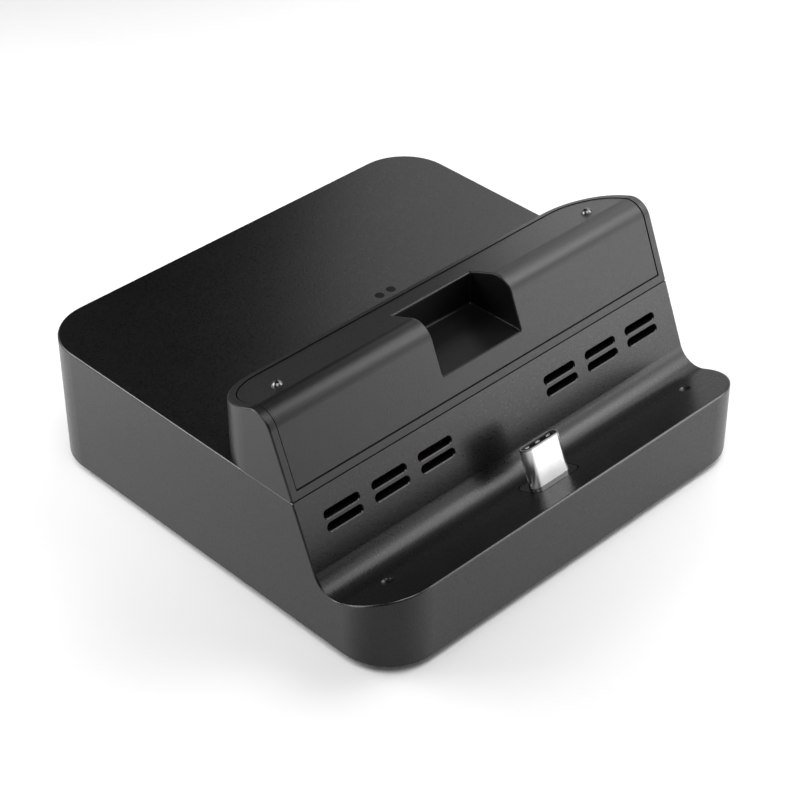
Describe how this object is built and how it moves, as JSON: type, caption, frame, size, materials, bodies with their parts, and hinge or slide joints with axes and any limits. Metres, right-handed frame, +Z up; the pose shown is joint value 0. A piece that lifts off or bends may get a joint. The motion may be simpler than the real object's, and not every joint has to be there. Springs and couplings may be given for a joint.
{
  "type": "handheld console dock",
  "caption": "Square handheld console dock with a leaning seat, an upright plug, vent slots, and a lift-off cover that serves as the back rest and turns over to close the seat.",
  "frame": {"origin": "middle of the footprint, on the surface that the feet stand on", "axes": "+X to the right as seen from the seat, +Y to the back, +Z up"},
  "size_m": [0.088, 0.086, 0.0391],
  "materials": {
    "case_plastic": "fine spark-textured black moulding",
    "panel_plastic": "fine spark-textured black moulding",
    "collar_plastic": "satin black moulding",
    "foot_rubber": "matt black rubber",
    "screw_steel": "blackened steel",
    "plug_steel": "bright plated steel",
    "socket_steel": "plated sheet steel",
    "insulator": "black connector moulding",
    "contact_metal": "gold-plated copper alloy",
    "board": "solder-masked glass-fibre board",
    "chip": "moulded chip package",
    "capacitor_can": "aluminium can",
    "light": "clear lens of a small light",
    "light_window": "smoked light guide",
    "ribbon": "flat flexible cable",
    "stud_steel": "polished steel",
    "magnet": "nickel-plated magnet"
  },
  "bodies": {
    "root": {"base_shell": "case_plastic", "bottom_cover": "case_plastic", "cover_shell": "case_plastic", "cover_panel": "panel_plastic", "plug_collar": "collar_plastic", "foot_front_left": "foot_rubber", "foot_front_right": "foot_rubber", "foot_rear_left": "foot_rubber", "foot_rear_right": "foot_rubber", "case_screws": "screw_steel", "board_screws": "screw_steel", "plug_screws": "screw_steel", "plug_shell": "plug_steel", "plug_springs": "plug_steel", "video_socket_shell": "socket_steel", "data_socket_shell": "socket_steel", "power_socket_shell": "socket_steel", "plug_insert": "insulator", "video_socket_tongue": "insulator", "data_socket_tongue": "insulator", "power_socket_tongue": "insulator", "plug_contacts": "contact_metal", "main_board": "board", "plug_board": "board", "converter_chip": "chip", "hub_chip": "chip", "power_coil": "chip", "capacitors": "capacitor_can", "status_light_1": "light", "status_light_2": "light", "light_pipe_1": "light_window", "light_pipe_2": "light_window", "plug_ribbon": "ribbon", "cover_stud_left": "stud_steel", "cover_stud_right": "stud_steel", "ledge_magnet_left": "magnet", "ledge_magnet_right": "magnet", "deck_magnet_left": "magnet", "deck_magnet_right": "magnet", "cover_magnet_left": "magnet", "cover_magnet_right": "magnet"}
  },
  "joints": []
}
